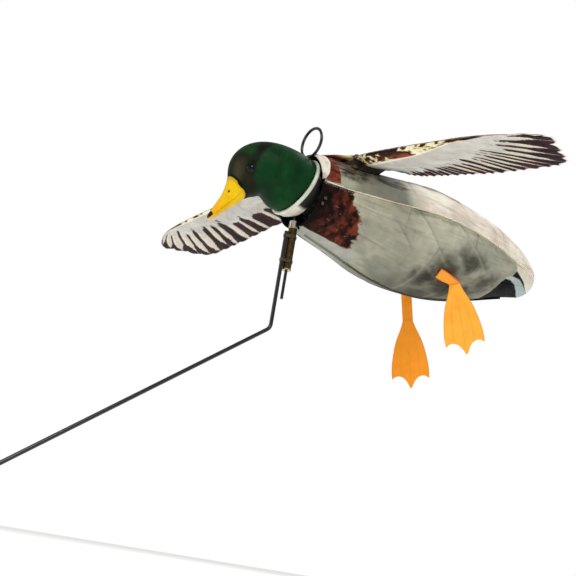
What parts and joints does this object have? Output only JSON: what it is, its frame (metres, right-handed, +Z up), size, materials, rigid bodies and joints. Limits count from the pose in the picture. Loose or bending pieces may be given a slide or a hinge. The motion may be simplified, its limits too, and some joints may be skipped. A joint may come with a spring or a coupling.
{
  "type": "motion wing decoy",
  "caption": "Wind-driven duck decoy: fabric sock body with moulded head, flapping fabric wings and hanging feet, turning on a bent ground stake.",
  "frame": {"origin": "point on the stake's lower section where it enters the ground", "axes": "+Z up; +X from the stake towards the duck's tail, so the duck looks along -X; the duck's left side is at -Y"},
  "size_m": [0.9521, 0.768, 0.6534],
  "materials": {
    "steel_black": "satin",
    "bronze": "aged satin",
    "bush_brass": "polished",
    "bright_steel": "bright",
    "screw_steel": "satin",
    "hub_plastic": "matte",
    "glass_fibre": "satin",
    "side_fabric": "printed",
    "back_fabric": "printed",
    "seam_fabric": "bare cut edge",
    "breast_fabric": "printed",
    "tail_fabric": "printed",
    "neck_white": "satin",
    "head_green": "satin paint",
    "bill_yellow": "satin paint",
    "eye_black": "gloss",
    "wing_fabric": "printed",
    "foot_foam": "matte foam"
  },
  "bodies": {
    "stake": {"ground_stake": "steel_black", "swivel_tube": "bronze", "upper_bush": "bush_brass", "lower_bush": "bush_brass", "clamp_band_upper": "bright_steel", "clamp_band_lower": "bright_steel"},
    "left_wing": {"wing_spar_left": "glass_fibre", "wing_panel_left": "wing_fabric", "spar_socket_left": "hub_plastic"},
    "right_wing": {"wing_spar_right": "glass_fibre", "wing_panel_right": "wing_fabric", "spar_socket_right": "hub_plastic"},
    "left_foot": {"foot_left": "foot_foam"},
    "right_foot": {"foot_right": "foot_foam"},
    "decoy": {"spindle_wire": "steel_black", "thrust_washer": "bright_steel", "spindle_collar": "bright_steel", "hinge_pin_left": "bright_steel", "hinge_pin_right": "bright_steel", "mouth_studs": "bright_steel", "collar_grub_screw": "screw_steel", "hub_screws": "screw_steel", "mouth_hoop": "screw_steel", "wing_hub": "hub_plastic", "tail_batten": "hub_plastic", "backbone": "glass_fibre", "body_side_left": "side_fabric", "body_side_right": "side_fabric", "belly_seam": "side_fabric", "back_panel": "back_fabric", "seam_flap_left": "seam_fabric", "seam_flap_right": "seam_fabric", "shoulder_cover": "breast_fabric", "tail_panel": "tail_fabric", "neck_ring": "neck_white", "neck_sleeve": "neck_white", "head_shell": "head_green", "bill": "bill_yellow", "eye_left": "eye_black", "eye_right": "eye_black", "leg_strip_left": "foot_foam", "leg_strip_right": "foot_foam"}
  },
  "joints": [
    {"name": "swivel", "type": "hinge", "parent": "stake", "child": "decoy", "pos_m": [0.42557, 0, 0.445], "axis": [0, 0, 1], "continuous": true},
    {"name": "left_wing_flap", "type": "hinge", "parent": "decoy", "child": "left_wing", "pos_m": [0.50057, -0.01, 0.546], "axis": [-1, 0, 0], "range_deg": [-20, 30]},
    {"name": "right_wing_flap", "type": "hinge", "parent": "decoy", "child": "right_wing", "pos_m": [0.50057, 0.01, 0.546], "axis": [1, 0, 0], "range_deg": [-20, 30]},
    {"name": "left_foot_swing", "type": "hinge", "parent": "decoy", "child": "left_foot", "pos_m": [0.67557, -0.0515, 0.4395], "axis": [0.5611, -0.7867, 0.2576], "range_deg": [-25, 35]},
    {"name": "right_foot_swing", "type": "hinge", "parent": "decoy", "child": "right_foot", "pos_m": [0.68157, 0.0515, 0.4395], "axis": [0.5979, -0.7872, 0.1515], "range_deg": [-25, 35]}
  ]
}
